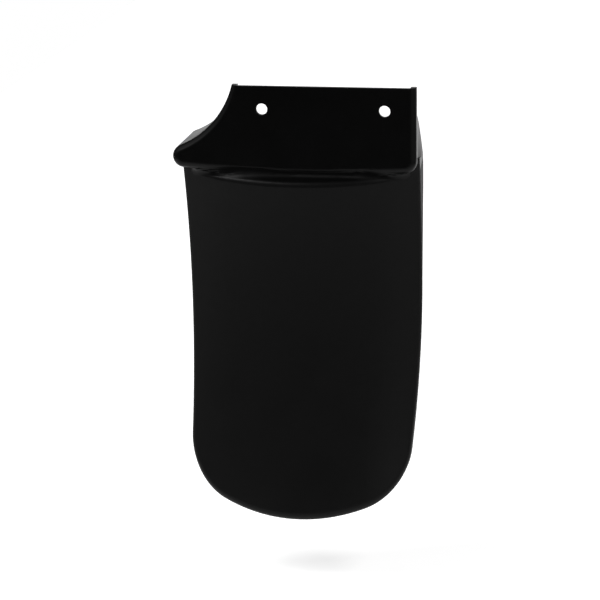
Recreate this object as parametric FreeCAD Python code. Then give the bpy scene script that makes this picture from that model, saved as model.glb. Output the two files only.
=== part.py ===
"""Shock mud flap of a motorcycle: one moulded sheet, with a mounting plate and a panel that hangs below it.

Lengths are millimetres. The origin lies midway between the two bolt holes, on the plate's seating face.
X runs along the row of holes, Z points up, and Y points away from the rear tyre, so the face that the tyre
sees looks towards -Y.
"""
import FreeCAD, Part
import math
import os

# Sheet, bolt holes, and the walls round the edge, which back up the rolled edge where the inside is sharp
SHEET = 2.0
WALL = 3.2
HOLE_SPACING = 70.0
HOLE_DIAMETER = 6.5

# Mounting plate, drawn in the XZ plane
PLATE_TOP = 13.2
PLATE_RIGHT = 52.5
PLATE_LOW = -36.0
PLATE_CORNER_R = 6.5
PLATE_BOW_R = 900.0
PLATE_ROLL_R = 4.2
TIP_LEFT = -87.4
TIP_LOW = -35.0
TIP_R = 6.6
SCOOP_R = 52.0
SCOOP_TOP_X = -52.7

# Panel outline, drawn in the XZ plane: the left side flares towards the tip, the right side tapers down
PANEL_X = -14.8
PANEL_LEFT = -80.2
PANEL_LEFT_Z = -175.0
PANEL_LEFT_R = 2900.0
PANEL_RIGHT = 53.4
PANEL_RIGHT_Z = -97.0
PANEL_RIGHT_R = 1100.0
PANEL_LOW = -235.0
PANEL_BOTTOM_X = -13.2
PANEL_BOTTOM_R = 122.0
PANEL_CORNER_R = 36.0
PANEL_ROLL_R = 4.2

# Panel face: a bulged plan section, swept about the tyre's axle so that it follows the tread
CREST_FRONT = -9.5
CREST_Z = -41.0
CREST_R = 3.0
LEDGE_SLOPE = math.radians(20.0)
PLAN_MIDDLE_R = 165.0
PLAN_SIDE_R = 72.0
PLAN_SIDE_START = 40.0
PLAN_HALF_WIDTH = 80.0
TREAD_R = 340.0
AXLE_Z = -108.0

# Rear edge of the walls: from a shallow rim beside the plate an arc runs back to the cheeks, which are
# deep at the tip and less so on the right, and below them a low rim runs round the panel
PLATE_RIM = 7.0
CHEEK_LEFT_DEPTH = 50.0
CHEEK_RIGHT_DEPTH = 25.5
CHEEK_LEFT_START_Z = 16.0
CHEEK_RIGHT_START_Z = -3.0
CHEEK_R = 44.0
CHEEK_END_Z = -46.0
PANEL_RIM = 6.0
PANEL_RIM_Z = -100.0
PANEL_RIM_LEVEL = 61.5

# Working lengths: blocks run this far forward and back, outlines and sweeps overrun the edges that get
# trimmed, and tool bodies reach past everything
DEPTH = 60.0
OVERRUN = 30.0
REACH = 200.0

FRONT_Y = -SHEET


def vec(x, y, z):
    """Point or direction in the part's frame."""
    return FreeCAD.Vector(x, y, z)


def flat(x, z):
    """Point of a sketch in the XZ plane."""
    return vec(x, 0.0, z)


def unit(direction):
    """Copy of a direction with length one."""
    return FreeCAD.Vector(direction).normalize()


def circles_meet(centre_a, radius_a, centre_b, radius_b, towards):
    """Crossing of two circles in the XZ plane, the one that lies furthest along a direction."""
    between = centre_b - centre_a
    gap = between.Length
    along = (gap ** 2 + radius_a ** 2 - radius_b ** 2) / (2.0 * gap)
    across = math.sqrt(radius_a ** 2 - along ** 2)
    axis = unit(between)
    normal = vec(-axis.z, 0.0, axis.x)
    foot = centre_a + axis * along
    crossings = [foot + normal * across, foot - normal * across]
    return max(crossings, key=lambda point: point.dot(towards))


def arc(centre, radius, start, end):
    """Arc of under half a turn about a centre, from one direction to another."""
    first = unit(start)
    last = unit(end)
    middle = unit(first + last)
    return Part.Arc(centre + first * radius, centre + middle * radius, centre + last * radius).toShape()


def line(start, end):
    """Straight edge."""
    return Part.LineSegment(start, end).toShape()


def closed(corners):
    """Straight edges from corner to corner and back to the first."""
    return [line(start, end) for start, end in zip(corners, corners[1:] + corners[:1])]


def plate_outline(inset):
    """Outline of the plate, shrunk by an inset, and carried on above the plate's top."""
    top = PLATE_TOP + OVERRUN
    corner = flat(PLATE_RIGHT - PLATE_CORNER_R, PLATE_LOW + PLATE_CORNER_R)
    tip = flat(TIP_LEFT + TIP_R, TIP_LOW + TIP_R)
    bow = circles_meet(corner, PLATE_BOW_R - PLATE_CORNER_R, tip, PLATE_BOW_R - TIP_R, vec(0, 0, 1))
    scoop_top = flat(SCOOP_TOP_X, PLATE_TOP)
    scoop = circles_meet(tip, SCOOP_R + TIP_R, scoop_top, SCOOP_R, vec(-1, 0, 0))

    right = PLATE_RIGHT - inset
    scoop_radius = SCOOP_R + inset
    scoop_end = vec(math.sqrt(scoop_radius ** 2 - (top - scoop.z) ** 2), 0.0, top - scoop.z)
    edges = [line(flat(right, top), flat(right, corner.z))]
    edges.append(arc(corner, PLATE_CORNER_R - inset, vec(1, 0, 0), corner - bow))
    edges.append(arc(bow, PLATE_BOW_R - inset, corner - bow, tip - bow))
    edges.append(arc(tip, TIP_R - inset, tip - bow, scoop - tip))
    edges.append(arc(scoop, scoop_radius, tip - scoop, scoop_end))
    edges.append(line(scoop + scoop_end, flat(right, top)))
    return Part.Face(Part.Wire(Part.__sortEdges__(edges)))


def panel_outline(inset, top):
    """U outline of the panel, shrunk by an inset, up to a given height."""
    right = flat(PANEL_RIGHT - PANEL_RIGHT_R, PANEL_RIGHT_Z)
    left = flat(PANEL_LEFT - PANEL_LEFT_R, PANEL_LEFT_Z)
    bottom = flat(PANEL_BOTTOM_X, PANEL_LOW + PANEL_BOTTOM_R)
    reach = PANEL_BOTTOM_R - PANEL_CORNER_R
    right_corner = circles_meet(right, PANEL_RIGHT_R - PANEL_CORNER_R, bottom, reach, vec(0, 0, -1))
    left_corner = circles_meet(left, PANEL_LEFT_R + PANEL_CORNER_R, bottom, reach, vec(0, 0, -1))

    radius = PANEL_CORNER_R - inset
    right_x = PANEL_RIGHT - inset
    left_radius = PANEL_LEFT_R + inset
    left_top = vec(math.sqrt(left_radius ** 2 - (top - left.z) ** 2), 0.0, top - left.z)
    edges = [line(flat(right_x, top), flat(right_x, PANEL_RIGHT_Z))]
    edges.append(arc(right, PANEL_RIGHT_R - inset, vec(1, 0, 0), right_corner - right))
    edges.append(arc(right_corner, radius, right_corner - right, right_corner - bottom))
    edges.append(arc(bottom, PANEL_BOTTOM_R - inset, right_corner - bottom, left_corner - bottom))
    edges.append(arc(left_corner, radius, left_corner - bottom, left - left_corner))
    edges.append(arc(left, left_radius, left_corner - left, left_top))
    edges.append(line(left + left_top, flat(right_x, top)))
    return Part.Face(Part.Wire(Part.__sortEdges__(edges)))


def tread_drop(z):
    """How far the panel's face comes forward at a height, next to its deepest point level with the axle."""
    return TREAD_R - math.sqrt(TREAD_R ** 2 - (z - AXLE_Z) ** 2)


def deepest_front():
    """Y of the middle of the panel's face, level with the axle."""
    return CREST_FRONT + tread_drop(CREST_Z)


def side_centre(side):
    """Centre of the tighter arc at one side of the plan section, level with the axle; side is 1 or -1."""
    lean = math.asin(PLAN_SIDE_START / PLAN_MIDDLE_R)
    inward = PLAN_MIDDLE_R - PLAN_SIDE_R
    y = deepest_front() + PLAN_MIDDLE_R - inward * math.cos(lean)
    return vec(PANEL_X + side * inward * math.sin(lean), y, AXLE_Z)


def section_point(side, offset, inset):
    """Point of the plan section's tight arc, at a distance to one side of the panel's middle."""
    centre = side_centre(side)
    x = PANEL_X + side * offset
    return vec(x, centre.y - math.sqrt((PLAN_SIDE_R - inset) ** 2 - (x - centre.x) ** 2), AXLE_Z)


def plan_section(inset, width):
    """Section behind the panel's bulged face, shrunk by an inset, with flats outside a half width."""
    middle = vec(PANEL_X, deepest_front() + PLAN_MIDDLE_R, AXLE_Z)
    right = side_centre(1)
    left = side_centre(-1)
    right_end = section_point(1, width, inset)
    left_end = section_point(-1, width, inset)
    edges = [arc(left, PLAN_SIDE_R - inset, left_end - left, left - middle)]
    edges.append(arc(middle, PLAN_MIDDLE_R - inset, left - middle, right - middle))
    edges.append(arc(right, PLAN_SIDE_R - inset, right - middle, right_end - right))
    outside = vec(REACH, 0.0, 0.0)
    behind = vec(0.0, REACH, 0.0)
    corners = [right_end, right_end + outside, right_end + outside + behind]
    corners += [left_end - outside + behind, left_end - outside, left_end]
    edges += [line(start, end) for start, end in zip(corners, corners[1:])]
    return Part.Face(Part.Wire(Part.__sortEdges__(edges)))


def axle_point():
    """Point of the tyre's axle."""
    return vec(0.0, deepest_front() - TREAD_R, AXLE_Z)


def sweep_about_axle(section, first_z, last_z):
    """Turns a section about the axle, between two heights of the middle of the face."""
    first = math.degrees(math.asin((first_z - AXLE_Z) / TREAD_R))
    last = math.degrees(math.asin((last_z - AXLE_Z) / TREAD_R))
    section = section.copy()
    section.rotate(axle_point(), vec(1, 0, 0), first)
    return section.revolve(axle_point(), vec(1, 0, 0), last - first)


def shared_edges(faces, others):
    """Edges that two groups of faces have in common."""
    other_edges = [edge for face in others for edge in face.Edges]
    found = []
    for edge in [edge for face in faces for edge in face.Edges]:
        if any(edge.isSame(other) for other in other_edges):
            found.append(edge)
    return found


def faces_towards(shape, direction):
    """Flat faces of a shape that look along a direction."""
    flats = [face for face in shape.Faces if isinstance(face.Surface, Part.Plane)]
    return [face for face in flats if face.normalAt(0.0, 0.0).dot(direction) > 1.0 - 1e-6]


def plate_block(wall, sheet):
    """Block behind the plate's face, shrunk by a wall all round and by a sheet at the front."""
    outline = plate_outline(wall)
    outline.translate(vec(0.0, FRONT_Y + sheet, 0.0))
    return outline.extrude(vec(0.0, DEPTH, 0.0))


def panel_block(wall, sheet):
    """Block behind the panel's face, shrunk in the same way and carried on up to the plate's top."""
    outline = panel_outline(wall, PLATE_TOP)
    outline.translate(vec(0.0, -DEPTH, 0.0))
    prism = outline.extrude(vec(0.0, 2.0 * DEPTH, 0.0))
    section = plan_section(sheet, PLAN_HALF_WIDTH)
    return prism.common(sweep_about_axle(section, PANEL_LOW - OVERRUN, PLATE_TOP + OVERRUN))


def swept_faces(block):
    """Faces of a block that were swept about the axle from the arcs of the plan section."""
    return [face for face in block.Faces if isinstance(face.Surface, Part.Toroid)]


def rolled(block, front, radius):
    """Block whose walls roll into its front faces."""
    ends = faces_towards(block, vec(0, 0, 1)) + faces_towards(block, vec(0, 1, 0))
    walls = [face for face in block.Faces if not any(face.isSame(other) for other in front + ends)]
    return block.makeFillet(radius, shared_edges(front, walls))


def ledge_normal():
    """Direction in which the sloped ledge faces."""
    return vec(0.0, -math.sin(LEDGE_SLOPE), math.cos(LEDGE_SLOPE))


def above_panel(sheet):
    """All above the ledge, lowered by a sheet, up to the groove under the plate and over the cheeks."""
    crest = vec(0.0, CREST_FRONT, CREST_Z) - ledge_normal() * sheet
    steepness = math.tan(LEDGE_SLOPE)
    groove_y = CREST_FRONT + (PLATE_LOW - CREST_Z) / steepness + sheet
    cheek_top = TIP_LOW + TIP_R
    front_y = crest.y - REACH
    sides = [(front_y, crest.z - REACH * steepness)]
    sides.append((groove_y, crest.z + (groove_y - crest.y) * steepness))
    sides += [(groove_y, cheek_top), (REACH, cheek_top), (REACH, REACH), (front_y, REACH)]
    side_view = Part.Face(Part.Wire(closed([vec(-REACH, y, z) for y, z in sides])))
    return side_view.extrude(vec(2.0 * REACH, 0.0, 0.0))


def outer_body():
    """Everything within the outer skin, with its edges rolled and its crest rounded."""
    plate = plate_block(0.0, 0.0)
    plate = rolled(plate, faces_towards(plate, vec(0, -1, 0)), PLATE_ROLL_R)
    panel = panel_block(0.0, 0.0)
    panel = rolled(panel, swept_faces(panel), PANEL_ROLL_R)
    panel = panel.cut(above_panel(0.0))
    crest = shared_edges(swept_faces(panel), faces_towards(panel, ledge_normal()))
    return plate.fuse(panel.makeFillet(CREST_R, crest))


def inner_body():
    """Space behind the sheet and within the walls, with plain corners."""
    panel = panel_block(WALL, SHEET).cut(above_panel(SHEET))
    return plate_block(WALL, SHEET).fuse(panel)


def box(low, high):
    """Box between two opposite corners."""
    size = high - low
    return Part.makeBox(size.x, size.y, size.z, low)


def across(x, left, right):
    """Value at a place across the part, on a straight line between those at the tip and the right edge."""
    return left + (right - left) * (x - TIP_LEFT) / (PLATE_RIGHT - TIP_LEFT)


def rear_view(x):
    """Side view, at a place across the part, of all that lies behind the walls above the panel's rim."""
    rim_y = FRONT_Y + PLATE_RIM
    start_z = across(x, CHEEK_LEFT_START_Z, CHEEK_RIGHT_START_Z)
    cheek_y = FRONT_Y + across(x, CHEEK_LEFT_DEPTH, CHEEK_RIGHT_DEPTH)
    cheek_z = start_z - math.sqrt(CHEEK_R ** 2 - (rim_y - cheek_y + CHEEK_R) ** 2)
    turn = FreeCAD.Rotation(vec(1, 0, 0), math.degrees(math.asin((PANEL_RIM_Z - AXLE_Z) / TREAD_R)))
    axle = axle_point()
    to_join = vec(0.0, section_point(1, PANEL_RIM_LEVEL, PANEL_RIM).y - axle.y, 0.0)
    join = axle + turn.multVec(to_join)
    far = axle + turn.multVec(to_join + vec(0.0, REACH, 0.0))
    start = vec(x, rim_y, start_z)
    end = vec(x, cheek_y, cheek_z)
    centre = end - vec(0.0, CHEEK_R, 0.0)
    sides = [(cheek_y, cheek_z), (cheek_y, CHEEK_END_Z), (join.y, join.z), (far.y, far.z), (far.y, REACH)]
    sides += [(rim_y, REACH), (rim_y, start_z)]
    corners = [vec(x, y, z) for y, z in sides]
    edges = [arc(centre, CHEEK_R, start - centre, end - centre)]
    edges += [line(first, last) for first, last in zip(corners, corners[1:])]
    return Part.Wire(edges)


def behind_walls():
    """Everything behind the walls above the panel's rim."""
    ends = [rear_view(TIP_LEFT - OVERRUN), rear_view(PLATE_RIGHT + OVERRUN)]
    return Part.makeLoft(ends, True, True)


def behind_panel():
    """Everything behind the low rim round the lower part of the panel."""
    section = plan_section(PANEL_RIM, PANEL_RIM_LEVEL)
    return sweep_about_axle(section, PANEL_LOW - OVERRUN, PANEL_RIM_Z)


def bolt_hole(x):
    """Drill through the plate at one end of the row of holes."""
    return Part.makeCylinder(HOLE_DIAMETER / 2.0, 2.0 * REACH, vec(x, -REACH, 0.0), vec(0, 1, 0))


def mud_flap():
    """Whole flap: a sheet with walls round its edge, trimmed at the top and behind, and drilled."""
    flap = outer_body().cut(inner_body())
    over_top = box(vec(-REACH, -REACH, PLATE_TOP), vec(REACH, REACH, REACH))
    for cutter in (over_top, behind_walls(), behind_panel()):
        flap = flap.cut(cutter)
    for x in (-HOLE_SPACING / 2.0, HOLE_SPACING / 2.0):
        flap = flap.cut(bolt_hole(x))
    return flap


def main():
    """Writes the flap."""
    os.makedirs("parts", exist_ok=True)
    flap = mud_flap()
    flap.exportStep("parts/mud_flap.step")


if __name__ == "__main__":
    main()
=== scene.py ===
"""Studio picture of a motorcycle's shock mud flap: one black moulding, dressed over its CAD solid."""

import logging
import math
from dataclasses import dataclass, field
from enum import Enum

import bmesh
import bpy
import numpy as np
from mathutils import Matrix, Vector
from mathutils.bvhtree import BVHTree


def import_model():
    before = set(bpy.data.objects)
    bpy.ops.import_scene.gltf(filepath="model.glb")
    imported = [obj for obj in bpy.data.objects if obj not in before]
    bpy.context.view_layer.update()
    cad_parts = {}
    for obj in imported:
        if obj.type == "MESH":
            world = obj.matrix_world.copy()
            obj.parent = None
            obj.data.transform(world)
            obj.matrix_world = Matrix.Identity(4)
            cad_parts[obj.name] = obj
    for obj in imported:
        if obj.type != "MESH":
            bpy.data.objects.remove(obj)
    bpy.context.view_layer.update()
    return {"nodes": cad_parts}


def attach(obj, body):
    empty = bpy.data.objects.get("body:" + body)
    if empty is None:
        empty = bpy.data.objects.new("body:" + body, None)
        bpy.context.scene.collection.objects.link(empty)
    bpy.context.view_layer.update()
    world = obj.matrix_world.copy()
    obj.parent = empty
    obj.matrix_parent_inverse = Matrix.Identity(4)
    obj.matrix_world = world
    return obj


LOG = logging.getLogger("mud_flap")
FLAP_NODE = "mud_flap"
SLOT = "black_plastic"
BODY = "root"
WHITE = (1.0, 1.0, 1.0, 1.0)


def grey(shade: float) -> tuple[float, float, float, float]:
    """Gives an opaque grey of one shade."""
    return (shade, shade, shade, 1.0)


def eased(value: float | np.ndarray, start: float, end: float) -> float | np.ndarray:
    """Rises smoothly from 0 at the start to 1 at the end.

    Args:
        value: Place or places to rate.
        start: Where the rise starts.
        end: Where it ends, on either side of the start.

    Returns:
        Share of the rise at each place.
    """
    share = np.clip((value - start) / (end - start), 0.0, 1.0)
    return share * share * (3.0 - 2.0 * share)


def bearing(azimuth: float, elevation: float) -> Vector:
    """Gives the direction in which a lamp or a camera stands.

    Args:
        azimuth: Degrees to the right of straight in front.
        elevation: Degrees above level.

    Returns:
        Unit vector that points away from the flap.
    """
    turn = math.radians(azimuth)
    rise = math.radians(elevation)
    return Vector((math.sin(turn) * math.cos(rise), -math.cos(turn) * math.cos(rise), math.sin(rise)))


def add_object(name: str, data: bpy.types.ID) -> bpy.types.Object:
    """Adds an object to the scene.

    Args:
        name: Name of the object.
        data: Its mesh, lamp or camera.

    Returns:
        The object.
    """
    thing = bpy.data.objects.new(name, data)
    bpy.context.scene.collection.objects.link(thing)
    return thing


def solid_tree(node: bpy.types.Object) -> BVHTree:
    """Makes the search tree that rays are cast against.

    Args:
        node: Object of the CAD node.

    Returns:
        Tree of its faces.
    """
    mesh = node.data
    return BVHTree.FromPolygons([vertex.co for vertex in mesh.vertices],
                                [tuple(face.vertices) for face in mesh.polygons])


class NodeTree:
    """Thin helper over a shader node tree, for short and readable links."""

    def __init__(self, tree: bpy.types.NodeTree) -> None:
        """Takes over an existing tree.

        Args:
            tree: Shader node tree of a material, a world or a group.
        """
        self.tree = tree

    def add(self, kind: str, label: str = "", **settings: object) -> bpy.types.Node:
        """Adds a node.

        Args:
            kind: Node type, without the ShaderNode prefix.
            label: Name that the node shows.
            settings: Properties of the node to set.

        Returns:
            The new node.
        """
        node = self.tree.nodes.new("ShaderNode" + kind)
        node.label = label
        for name, value in settings.items():
            setattr(node, name, value)
        return node

    def link(self, source: bpy.types.NodeSocket, target: bpy.types.NodeSocket) -> None:
        """Links an output to an input."""
        self.tree.links.new(source, target)

    def math(self, operation: str, first: object, second: object = 0.0, third: object = 0.0,
             clamp: bool = False) -> bpy.types.NodeSocket:
        """Adds a Math node whose inputs are sockets or numbers.

        Args:
            operation: Blender's name of the operation.
            first: First input.
            second: Second input.
            third: Third input, where the operation has one.
            clamp: Whether the outcome is kept between 0 and 1.

        Returns:
            The node's output.
        """
        node = self.add("Math", operation=operation, use_clamp=clamp)
        for socket, value in zip(node.inputs, (first, second, third)):
            if isinstance(value, bpy.types.NodeSocket):
                self.link(value, socket)
            else:
                socket.default_value = value
        return node.outputs[0]

    def remap(self, value: bpy.types.NodeSocket, low: float, high: float, to_low: float, to_high: float,
              smooth: bool = False) -> bpy.types.NodeSocket:
        """Maps a value from one range to another, kept inside the new range.

        Args:
            value: Socket to map.
            low: Start of the old range.
            high: End of the old range.
            to_low: Start of the new range.
            to_high: End of the new range.
            smooth: Whether the ends are eased.

        Returns:
            The mapped socket.
        """
        node = self.add("MapRange", clamp=True)
        if smooth:
            node.interpolation_type = "SMOOTHSTEP"
        self.link(value, node.inputs["Value"])
        ends = {"From Min": low, "From Max": high, "To Min": to_low, "To Max": to_high}
        for name, number in ends.items():
            node.inputs[name].default_value = number
        return node.outputs["Result"]

    def mask(self, value: bpy.types.NodeSocket, start: float, end: float) -> bpy.types.NodeSocket:
        """Rises smoothly from 0 at the start to 1 at the end."""
        return self.remap(value, start, end, 0.0, 1.0, smooth=True)


@dataclass(frozen=True)
class MouldedPlastic:
    """Black moulded plastic: smooth plate and walls, a matt rolled edge and a finely textured panel."""

    name: str = SLOT
    plate_shade: float = 0.0011
    panel_shade: float = 0.0019
    plate_roughness: float = 0.36
    panel_roughness: float = 0.50
    edge_roughness: float = 0.62
    wall_roughness: float = 0.30
    specular: float = 0.10
    # The plate's rolled edge: the depths and heights between which it comes and goes.
    edge_front: float = -0.0019
    edge_start: float = -0.0011
    edge_end: float = 0.0014
    edge_back: float = 0.0024
    edge_low: float = -0.0310
    edge_high: float = -0.0260
    # The ledge's slope parts plate from panel. The texture fades in just below it.
    crest_y: float = -0.0095
    crest_z: float = -0.041
    ledge_slope: float = 20.0
    texture_start: float = 0.0
    texture_full: float = -0.0022
    # Fine grain and, over it, the broader flow of the melt.
    grain_scale: float = 2600.0
    grain_depth: float = 0.000012
    grain_strength: float = 0.5
    grain_detail: float = 3.0
    flow_detail: float = 2.0
    flow_scale: float = 0.06
    flow_height: float = 0.4
    # Patches in which the gloss is a little uneven.
    blotch_scale: float = 45.0
    blotch_low: float = 0.3
    blotch_high: float = 0.7
    blotch_swing: float = 0.02

    def grain_group(self) -> bpy.types.ShaderNodeTree:
        """Makes the group of the fine moulded grain.

        Returns:
            Group with a vector and a scale input, and a height output.
        """
        tree = bpy.data.node_groups.new("moulded_grain", "ShaderNodeTree")
        tree.interface.new_socket("Vector", in_out="INPUT", socket_type="NodeSocketVector")
        tree.interface.new_socket("Scale", in_out="INPUT", socket_type="NodeSocketFloat")
        tree.interface.new_socket("Height", in_out="OUTPUT", socket_type="NodeSocketFloat")
        group = NodeTree(tree)
        source = tree.nodes.new("NodeGroupInput")
        target = tree.nodes.new("NodeGroupOutput")
        fine = group.add("TexNoise", "fine grain")
        fine.inputs["Detail"].default_value = self.grain_detail
        broad = group.add("TexNoise", "flow of the melt")
        broad.inputs["Detail"].default_value = self.flow_detail
        group.link(source.outputs["Vector"], fine.inputs["Vector"])
        group.link(source.outputs["Vector"], broad.inputs["Vector"])
        group.link(source.outputs["Scale"], fine.inputs["Scale"])
        group.link(group.math("MULTIPLY", source.outputs["Scale"], self.flow_scale), broad.inputs["Scale"])
        mixed = group.math("MULTIPLY_ADD", broad.outputs["Fac"], self.flow_height, fine.outputs["Fac"])
        group.link(mixed, target.inputs["Height"])
        return tree

    def plate_mask(self, nodes: NodeTree, axes: bpy.types.Node) -> bpy.types.NodeSocket:
        """Marks what lies above the ledge's slope.

        Args:
            nodes: Tree of the material.
            axes: Node that splits the place into X, Y and Z.

        Returns:
            1 on the plate and its walls, 0 on the panel.
        """
        steepness = math.tan(math.radians(self.ledge_slope))
        level = self.crest_z - self.crest_y * steepness
        ledge = nodes.math("MULTIPLY_ADD", axes.outputs["Y"], steepness, level)
        above = nodes.math("SUBTRACT", axes.outputs["Z"], ledge)
        return nodes.mask(above, self.texture_full, self.texture_start)

    def roughness(self, nodes: NodeTree, axes: bpy.types.Node,
                  plate: bpy.types.NodeSocket) -> bpy.types.NodeSocket:
        """Sets the roughness of the panel, the plate, its rolled edge and its walls.

        Args:
            nodes: Tree of the material.
            axes: Node that splits the place into X, Y and Z.
            plate: Mask of the plate and its walls.

        Returns:
            Roughness, even within each of them.
        """
        started = nodes.mask(axes.outputs["Y"], self.edge_front, self.edge_start)
        behind = nodes.mask(axes.outputs["Y"], self.edge_end, self.edge_back)
        upper = nodes.mask(axes.outputs["Z"], self.edge_low, self.edge_high)
        edge = nodes.math("MULTIPLY", nodes.math("SUBTRACT", started, behind), upper)
        wall = nodes.math("MULTIPLY", plate, behind)
        smoother = self.plate_roughness - self.panel_roughness
        coarser = self.edge_roughness - self.plate_roughness
        finer = self.wall_roughness - self.plate_roughness
        rough = nodes.math("MULTIPLY_ADD", plate, smoother, self.panel_roughness)
        rough = nodes.math("MULTIPLY_ADD", edge, coarser, rough)
        return nodes.math("MULTIPLY_ADD", wall, finer, rough)

    def blotches(self, nodes: NodeTree, place: bpy.types.NodeSocket) -> bpy.types.NodeSocket:
        """Makes the small unevenness of the gloss.

        Args:
            nodes: Tree of the material.
            place: Object coordinates.

        Returns:
            What is added to the roughness.
        """
        blotch = nodes.add("TexNoise", "uneven gloss")
        blotch.inputs["Scale"].default_value = self.blotch_scale
        nodes.link(place, blotch.inputs["Vector"])
        return nodes.remap(blotch.outputs["Fac"], self.blotch_low, self.blotch_high,
                           -self.blotch_swing, self.blotch_swing)

    def grain_normal(self, nodes: NodeTree, place: bpy.types.NodeSocket) -> bpy.types.NodeSocket:
        """Makes the normal of the moulded grain.

        Args:
            nodes: Tree of the material.
            place: Object coordinates.

        Returns:
            Normal for the shader.
        """
        grain = nodes.add("Group", "moulded grain", node_tree=self.grain_group())
        nodes.link(place, grain.inputs["Vector"])
        grain.inputs["Scale"].default_value = self.grain_scale
        bump = nodes.add("Bump", "grain's relief")
        bump.inputs["Strength"].default_value = self.grain_strength
        bump.inputs["Distance"].default_value = self.grain_depth
        nodes.link(grain.outputs["Height"], bump.inputs["Height"])
        return bump.outputs["Normal"]

    def material(self) -> bpy.types.Material:
        """Builds the material.

        Returns:
            Node material that reads object coordinates.
        """
        material = bpy.data.materials.new(self.name)
        material.use_nodes = True
        nodes = NodeTree(material.node_tree)
        shader = material.node_tree.nodes["Principled BSDF"]
        place = nodes.add("TexCoord").outputs["Object"]
        axes = nodes.add("SeparateXYZ")
        nodes.link(place, axes.inputs[0])
        plate = self.plate_mask(nodes, axes)

        colour = nodes.add("Mix", data_type="RGBA")
        colour.inputs["A"].default_value = grey(self.panel_shade)
        colour.inputs["B"].default_value = grey(self.plate_shade)
        nodes.link(plate, colour.inputs["Factor"])
        nodes.link(colour.outputs["Result"], shader.inputs["Base Color"])

        even = self.roughness(nodes, axes, plate)
        uneven = nodes.math("ADD", even, self.blotches(nodes, place), clamp=True)
        nodes.link(uneven, shader.inputs["Roughness"])
        nodes.link(self.grain_normal(nodes, place), shader.inputs["Normal"])
        shader.inputs["Specular IOR Level"].default_value = self.specular
        return material


class Side(Enum):
    """Side of a sliver: the one that shows, or the one that is buried in the solid."""

    FACE = "face"
    BACK = "back"


class Sliver:
    """Thin closed body between two grids of points, which covers some of the grid's cells."""

    RING = ((0, 0), (1, 0), (1, 1), (0, 1))
    BESIDE = ((0, -1), (1, 0), (0, 1), (-1, 0))

    def __init__(self, face: np.ndarray, back: np.ndarray, wanted: np.ndarray) -> None:
        """Takes the grids.

        Args:
            face: Points of the side that shows, by column and row.
            back: Points of the buried side.
            wanted: Which cells are covered, by column and row.
        """
        self.sides = {Side.FACE: face, Side.BACK: back}
        self.wanted = wanted
        self.body = bmesh.new()
        self.corners: dict[tuple[Side, int, int], bmesh.types.BMVert] = {}

    def corner(self, side: Side, column: int, row: int) -> bmesh.types.BMVert:
        """Gives the vertex of a grid point, made once.

        Args:
            side: Side that it is on.
            column: Column of the point.
            row: Row of the point.

        Returns:
            The vertex.
        """
        key = (side, column, row)
        if key not in self.corners:
            self.corners[key] = self.body.verts.new(self.sides[side][column, row])
        return self.corners[key]

    def covers(self, column: int, row: int) -> bool:
        """Tells whether a cell lies in the grid and is covered."""
        columns, rows = self.wanted.shape
        return 0 <= column < columns and 0 <= row < rows and bool(self.wanted[column, row])

    def add_cell(self, column: int, row: int) -> None:
        """Adds a cell's two faces, and a wall on each side where the body ends.

        Args:
            column: Column of the cell.
            row: Row of the cell.
        """
        ring = [(column + i, row + j) for i, j in self.RING]
        self.body.faces.new([self.corner(Side.FACE, *point) for point in ring]).smooth = True
        self.body.faces.new([self.corner(Side.BACK, *point) for point in reversed(ring)])
        for edge, (i, j) in enumerate(self.BESIDE):
            if not self.covers(column + i, row + j):
                first = ring[edge]
                last = ring[(edge + 1) % len(ring)]
                self.body.faces.new([self.corner(Side.FACE, *last), self.corner(Side.FACE, *first),
                                     self.corner(Side.BACK, *first), self.corner(Side.BACK, *last)])

    def build(self, name: str, material: bpy.types.Material) -> bpy.types.Object:
        """Builds the body.

        Args:
            name: Name of the piece.
            material: Its finish.

        Returns:
            The piece, smooth on the side that shows.
        """
        for column, row in zip(*np.nonzero(self.wanted)):
            self.add_cell(int(column), int(row))
        bmesh.ops.recalc_face_normals(self.body, faces=self.body.faces)
        mesh = bpy.data.meshes.new(name)
        self.body.to_mesh(mesh)
        self.body.free()
        mesh.materials.append(material)
        LOG.info("built %s with %d faces", name, len(mesh.polygons))
        return add_object(name, mesh)


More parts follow.
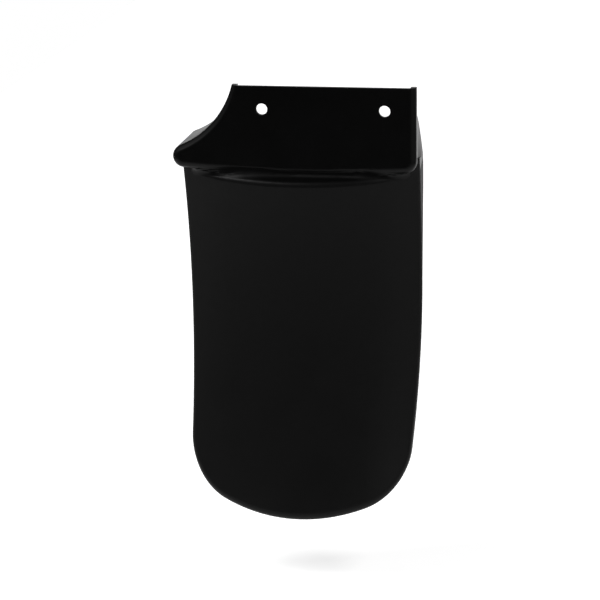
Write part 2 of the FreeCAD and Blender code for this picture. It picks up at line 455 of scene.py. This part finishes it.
@dataclass
class StepFillet:
    """Moulded fillet in the corner of the step: a ball rolled along it, larger towards the two ends."""

    name: str = "step_fillet"
    # Where it lies, how far above and below it the skin is read too, and how finely.
    left: float = -0.0780
    right: float = 0.0490
    low: float = -0.0460
    high: float = -0.0255
    margin: float = 0.0200
    pitch_across: float = 0.0008
    pitch_up: float = 0.0004
    # The ball's radius, and where it changes along the step.
    left_radius: float = 0.0085
    middle_radius: float = 0.0026
    right_radius: float = 0.0055
    left_ease: float = -0.0650
    middle_left: float = -0.0100
    middle_right: float = 0.0050
    right_ease: float = 0.0350
    # How the fill runs out at both ends, and how often it is smoothed along the step.
    end_fade: float = 0.0045
    smoothing: int = 14
    # Less fill than this isn't built. The body reaches a few cells further, sunk below the skin.
    thinnest: float = 0.00001
    border: int = 2
    sunk: float = 0.00003
    full: float = 0.00010
    backing: float = 0.0006
    # Where the rays start, and the depth that stands for a miss.
    start_y: float = -0.1
    nothing: float = 0.06

    def front(self, node: bpy.types.Object, across: np.ndarray, up: np.ndarray) -> np.ndarray:
        """Measures where the solid's front skin lies.

        Args:
            node: Object of the CAD node.
            across: X of each column.
            up: Z of each row.

        Returns:
            Y of the skin, by column and row.
        """
        tree = solid_tree(node)
        inwards = Vector((0.0, 1.0, 0.0))
        skin = np.full((len(across), len(up)), self.nothing)
        for column, x in enumerate(across):
            for row, z in enumerate(up):
                place = tree.ray_cast(Vector((x, self.start_y, z)), inwards)[0]
                if place is not None:
                    skin[column, row] = place.y
        return skin

    def radius(self, across: np.ndarray) -> np.ndarray:
        """Gives the ball's radius along the step.

        Args:
            across: X of each column.

        Returns:
            Radius at each column.
        """
        left = (self.left_radius - self.middle_radius) * eased(across, self.middle_left, self.left_ease)
        right = (self.right_radius - self.middle_radius) * eased(across, self.middle_right, self.right_ease)
        return self.middle_radius + left + right

    def rolled(self, skin: np.ndarray, across: np.ndarray, up: np.ndarray) -> np.ndarray:
        """Rolls the ball up and down each column and fills what it can't reach.

        Args:
            skin: Y of the solid's front skin.
            across: X of each column.
            up: Z of each row.

        Returns:
            Y of the filled skin.
        """
        apart = np.abs(up[:, None] - up[None, :])
        filled = skin.copy()
        for column, size in enumerate(self.radius(across)):
            near = apart < size
            reach = np.sqrt(np.maximum(size * size - apart * apart, 0.0))
            centre = np.where(near, skin[column][None, :] - reach, np.inf).min(axis=1)
            filled[column] = np.where(near, centre[:, None] + reach, -np.inf).max(axis=0)
        depth = skin - np.minimum(filled, skin)
        for _ in range(self.smoothing):
            depth[1:-1] = (depth[:-2] + 2.0 * depth[1:-1] + depth[2:]) / 4.0
        ends = eased(across, self.left, self.left + self.end_fade)
        ends = ends * eased(across, self.right, self.right - self.end_fade)
        return skin - depth * ends[:, None]

    def covered(self, depth: np.ndarray) -> np.ndarray:
        """Picks the cells that the body covers.

        Args:
            depth: Depth of the fill at each point.

        Returns:
            Whether each cell is filled, or lies in the border of the fill.
        """
        deep = depth > self.thinnest
        wanted = deep[:-1, :-1] | deep[1:, :-1] | deep[:-1, 1:] | deep[1:, 1:]
        for _ in range(self.border):
            grown = wanted.copy()
            grown[1:] |= wanted[:-1]
            grown[:-1] |= wanted[1:]
            grown[:, 1:] |= wanted[:, :-1]
            grown[:, :-1] |= wanted[:, 1:]
            wanted = grown
        return wanted

    def build(self, node: bpy.types.Object, material: bpy.types.Material) -> bpy.types.Object:
        """Builds the fillet as a closed sliver that is bedded in the solid.

        Args:
            node: Object of the CAD node.
            material: Its finish.

        Returns:
            The fillet.
        """
        across = np.arange(self.left, self.right, self.pitch_across)
        up = np.arange(self.low - self.margin, self.high + self.margin, self.pitch_up)
        skin = self.front(node, across, up)
        filled = self.rolled(skin, across, up)
        kept = (up > self.low) & (up < self.high)
        skin = skin[:, kept]
        filled = filled[:, kept]
        depth = skin - filled
        face_y = filled + self.sunk * (1.0 - eased(depth, 0.0, self.full))
        x, z = np.meshgrid(across, up[kept], indexing="ij")
        face = np.stack((x, face_y, z), axis=-1)
        back = np.stack((x, skin + self.backing, z), axis=-1)
        return Sliver(face, back, self.covered(depth)).build(self.name, material)


@dataclass
class RimBlend:
    """Sliver that eases the small step where the panel's right side starts below the plate's wall."""

    name: str = "rim_blend"
    # The wall's outer side, and the depths between which the fill grows to the height of the step.
    wall_x: float = 0.0525
    front_y: float = 0.0045
    full_y: float = 0.0170
    # Heights at which the fill starts, the panel's side starts and is read, and the buried foot ends.
    top_z: float = -0.0080
    step_z: float = -0.0283
    probe_z: float = -0.0290
    foot_z: float = -0.0300
    rows: int = 24
    columns: int = 16
    # How the body is bedded in the solid.
    sunk: float = 0.00003
    full: float = 0.00010
    backing: float = 0.0008
    # The search for the wall's rear edge: its end, its pitch, what still counts as wall, and the gap kept.
    last_y: float = 0.0260
    scan: float = 0.00005
    on_wall: float = 0.0002
    inset: float = 0.00005
    start_x: float = 0.1

    def side(self, tree: BVHTree, y: float, z: float) -> float:
        """Gives the X of the solid's right skin, or 0 where there is none."""
        place = tree.ray_cast(Vector((self.start_x, y, z)), Vector((-1.0, 0.0, 0.0)))[0]
        return 0.0 if place is None else place.x

    def rear(self, tree: BVHTree, z: float) -> float:
        """Finds the wall's rear edge.

        Args:
            tree: Search tree of the solid.
            z: Height at which it is wanted.

        Returns:
            Last Y that is still on the wall.
        """
        places = np.arange(self.front_y, self.last_y, self.scan)
        return max(y for y in places if self.side(tree, y, z) > self.wall_x - self.on_wall)

    def outer(self, tree: BVHTree, y: float, z: float) -> float:
        """Gives the X of the sliver's outer face.

        Args:
            tree: Search tree of the solid.
            y: Depth of the place.
            z: Height of the place.

        Returns:
            X, a little inside the solid where there is nothing to fill.
        """
        step = max(self.side(tree, y, self.probe_z) - self.wall_x, 0.0)
        step *= eased(y, self.front_y, self.full_y)
        share = np.clip((self.top_z - z) / (self.top_z - self.step_z), 0.0, 1.0)
        fill = step * share * share
        if z < self.step_z:
            return min(self.wall_x + fill, self.side(tree, y, z)) - self.sunk
        return self.wall_x + fill - self.sunk * (1.0 - eased(fill, 0.0, self.full))

    def build(self, node: bpy.types.Object, material: bpy.types.Material) -> bpy.types.Object:
        """Builds the sliver as a closed body that is bedded in the wall.

        Args:
            node: Object of the CAD node.
            material: Its finish.

        Returns:
            The sliver.
        """
        tree = solid_tree(node)
        face = []
        back = []
        for z in np.linspace(self.top_z, self.foot_z, self.rows + 1):
            depths = np.linspace(self.front_y, self.rear(tree, z) - self.inset, self.columns + 1)
            face.append([(self.outer(tree, y, z), y, z) for y in depths])
            back.append([(self.wall_x - self.backing, y, z) for y in depths])
        wanted = np.ones((self.rows, self.columns), dtype=bool)
        return Sliver(np.array(face), np.array(back), wanted).build(self.name, material)


@dataclass
class MudFlap:
    """The flap itself: the CAD node and the two small blends on it, in one moulded finish."""

    finish: MouldedPlastic = field(default_factory=MouldedPlastic)
    fillet: StepFillet = field(default_factory=StepFillet)
    blend: RimBlend = field(default_factory=RimBlend)

    def dress(self, node: bpy.types.Object) -> None:
        """Gives the CAD node its finish and adds the blends.

        Args:
            node: Object of the CAD node.
        """
        material = self.finish.material()
        node.data.materials.clear()
        node.data.materials.append(material)
        for part in (self.fillet, self.blend):
            piece = part.build(node, material)
            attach(piece, BODY)
        LOG.info("dressed %s", node.name)


@dataclass(frozen=True)
class Softbox:
    """Large soft lamp on one side of the studio."""

    name: str
    azimuth: float
    elevation: float
    distance: float
    width: float
    height: float
    power: float

    def place(self, aim: Vector) -> bpy.types.Object:
        """Adds the lamp.

        Args:
            aim: Point that the lamp faces.

        Returns:
            The lamp's object.
        """
        data = bpy.data.lights.new(self.name, "AREA")
        data.shape = "RECTANGLE"
        data.size = self.width
        data.size_y = self.height
        data.energy = self.power
        lamp = add_object(self.name, data)
        away = bearing(self.azimuth, self.elevation)
        lamp.location = aim + away * self.distance
        lamp.rotation_euler = (-away).to_track_quat("-Z", "Y").to_euler()
        lamp.visible_camera = False
        return lamp


@dataclass
class Studio:
    """Pale floor, white backdrop, soft lamps and a dim room."""

    aim: Vector = field(default_factory=lambda: Vector((-0.017, 0.0, -0.11)))
    floor_z: float = -0.275
    floor_half: float = 0.6
    floor_front: float = -0.44
    backdrop_half: float = 0.85
    backdrop_y: float = 2.3
    backdrop_high: float = 3.6
    paper_shade: float = 0.86
    # The room's light on the flap, and how white the room looks to the camera.
    room_level: float = 0.06
    room_seen: float = 1.0
    # The floor glows less near the flap, where its shadow falls, than far off.
    floor_glow: float = 0.64
    far_glow: float = 1.0
    near_radius: float = 0.40
    far_radius: float = 0.90
    lamps: tuple[Softbox, ...] = (
        Softbox("key_left", azimuth=-60.0, elevation=48.0, distance=1.5, width=0.6, height=0.8, power=18.0),
        Softbox("key_right", azimuth=56.0, elevation=38.0, distance=1.5, width=0.5, height=1.1, power=14.0),
    )

    def white(self, name: str, near_glow: float) -> bpy.types.Material:
        """Makes a white that keeps shadows, and to which cameras and gloss add a glow.

        Args:
            name: Name of the material.
            near_glow: Strength of the glow round the object, where the shadow falls.

        Returns:
            Node material.
        """
        material = bpy.data.materials.new(name)
        material.use_nodes = True
        nodes = NodeTree(material.node_tree)
        material.node_tree.nodes.remove(material.node_tree.nodes["Principled BSDF"])
        paper = nodes.add("BsdfDiffuse")
        paper.inputs["Color"].default_value = grey(self.paper_shade)
        glow = nodes.add("Emission")
        rays = nodes.add("LightPath")
        seen = nodes.math("MAXIMUM", rays.outputs["Is Camera Ray"], rays.outputs["Is Glossy Ray"])
        seen = nodes.math("MAXIMUM", seen, rays.outputs["Is Transmission Ray"])
        away = nodes.add("VectorMath", operation="LENGTH")
        nodes.link(nodes.add("TexCoord").outputs["Object"], away.inputs[0])
        level = nodes.remap(away.outputs["Value"], self.near_radius, self.far_radius,
                            near_glow, self.far_glow)
        nodes.link(nodes.math("MULTIPLY", seen, level), glow.inputs["Strength"])
        both = nodes.add("AddShader")
        nodes.link(paper.outputs[0], both.inputs[0])
        nodes.link(glow.outputs[0], both.inputs[1])
        nodes.link(both.outputs[0], material.node_tree.nodes["Material Output"].inputs["Surface"])
        return material

    def sheet(self, name: str, corners: list[Vector], material: bpy.types.Material) -> bpy.types.Object:
        """Adds one flat sheet of the set.

        Args:
            name: Name of the object.
            corners: Its corners in order.
            material: Its finish.

        Returns:
            The sheet.
        """
        mesh = bpy.data.meshes.new(name)
        mesh.from_pydata([tuple(corner) for corner in corners], [], [tuple(range(len(corners)))])
        mesh.materials.append(material)
        thing = add_object(name, mesh)
        return thing

    def light_room(self) -> None:
        """Makes the world: white to the camera, dim to everything else."""
        world = bpy.data.worlds.new("room")
        bpy.context.scene.world = world
        world.use_nodes = True
        nodes = NodeTree(world.node_tree)
        surface = world.node_tree.nodes["Background"]
        rays = nodes.add("LightPath")
        level = nodes.remap(rays.outputs["Is Camera Ray"], 0.0, 1.0, self.room_level, self.room_seen)
        surface.inputs["Color"].default_value = WHITE
        nodes.link(level, surface.inputs["Strength"])

    def build(self) -> None:
        """Sets up the room."""
        half = self.floor_half
        wide = self.backdrop_half
        low = self.floor_z
        back = self.backdrop_y
        floor = [Vector((-half, self.floor_front, low)), Vector((half, self.floor_front, low)),
                 Vector((half, back, low)), Vector((-half, back, low))]
        wall = [Vector((-wide, back, low)), Vector((wide, back, low)),
                Vector((wide, back, self.backdrop_high)), Vector((-wide, back, self.backdrop_high))]
        self.sheet("floor", floor, self.white("floor_white", self.floor_glow))
        self.sheet("backdrop", wall, self.white("backdrop_white", self.far_glow))
        for lamp in self.lamps:
            lamp.place(self.aim)
        self.light_room()
        LOG.info("set up the studio")


@dataclass(frozen=True)
class PhotoCamera:
    """Camera at the photograph's place: the point between the holes lands on its own spot of the frame."""

    name: str = "photo_camera"
    azimuth: float = 10.0
    elevation: float = 14.0
    roll: float = -0.757
    distance: float = 1.7967
    focal_pixels: float = 3200.0
    frame_pixels: float = 600.0
    sensor: float = 36.0
    near_clip: float = 0.05
    far_clip: float = 50.0
    holes_at: tuple[float, float] = (322.785, 110.435)
    plate_front: float = -0.002

    def place(self) -> bpy.types.Object:
        """Adds the camera and makes it the scene's.

        Returns:
            The camera's object.
        """
        turn = math.radians(self.azimuth)
        tilt = math.radians(self.roll)
        back = bearing(self.azimuth, self.elevation)
        level = Vector((math.cos(turn), math.sin(turn), 0.0))
        upright = back.cross(level)
        right = level * math.cos(tilt) + upright * math.sin(tilt)
        up = upright * math.cos(tilt) - level * math.sin(tilt)
        middle = self.frame_pixels / 2.0
        across = (self.holes_at[0] - middle) / self.focal_pixels
        above = (middle - self.holes_at[1]) / self.focal_pixels
        holes = Vector((0.0, self.plate_front, 0.0))
        eye = holes + (back - right * across - up * above) * self.distance

        data = bpy.data.cameras.new(self.name)
        data.sensor_fit = "HORIZONTAL"
        data.sensor_width = self.sensor
        data.lens = self.focal_pixels / self.frame_pixels * self.sensor
        data.clip_start = self.near_clip
        data.clip_end = self.far_clip
        camera = add_object(self.name, data)
        axes = Matrix((right, up, back)).transposed()
        camera.matrix_world = Matrix.Translation(eye) @ axes.to_4x4()
        bpy.context.scene.camera = camera
        LOG.info("placed the camera")
        return camera


def main() -> None:
    """Loads the frame, dresses the flap and sets up the studio and the camera."""
    logging.basicConfig(level=logging.INFO, format="%(name)s: %(message)s")
    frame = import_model()
    MudFlap().dress(frame["nodes"][FLAP_NODE])
    Studio().build()
    PhotoCamera().place()
    bpy.context.scene.view_settings.view_transform = "Standard"


if __name__ == "__main__":
    main()
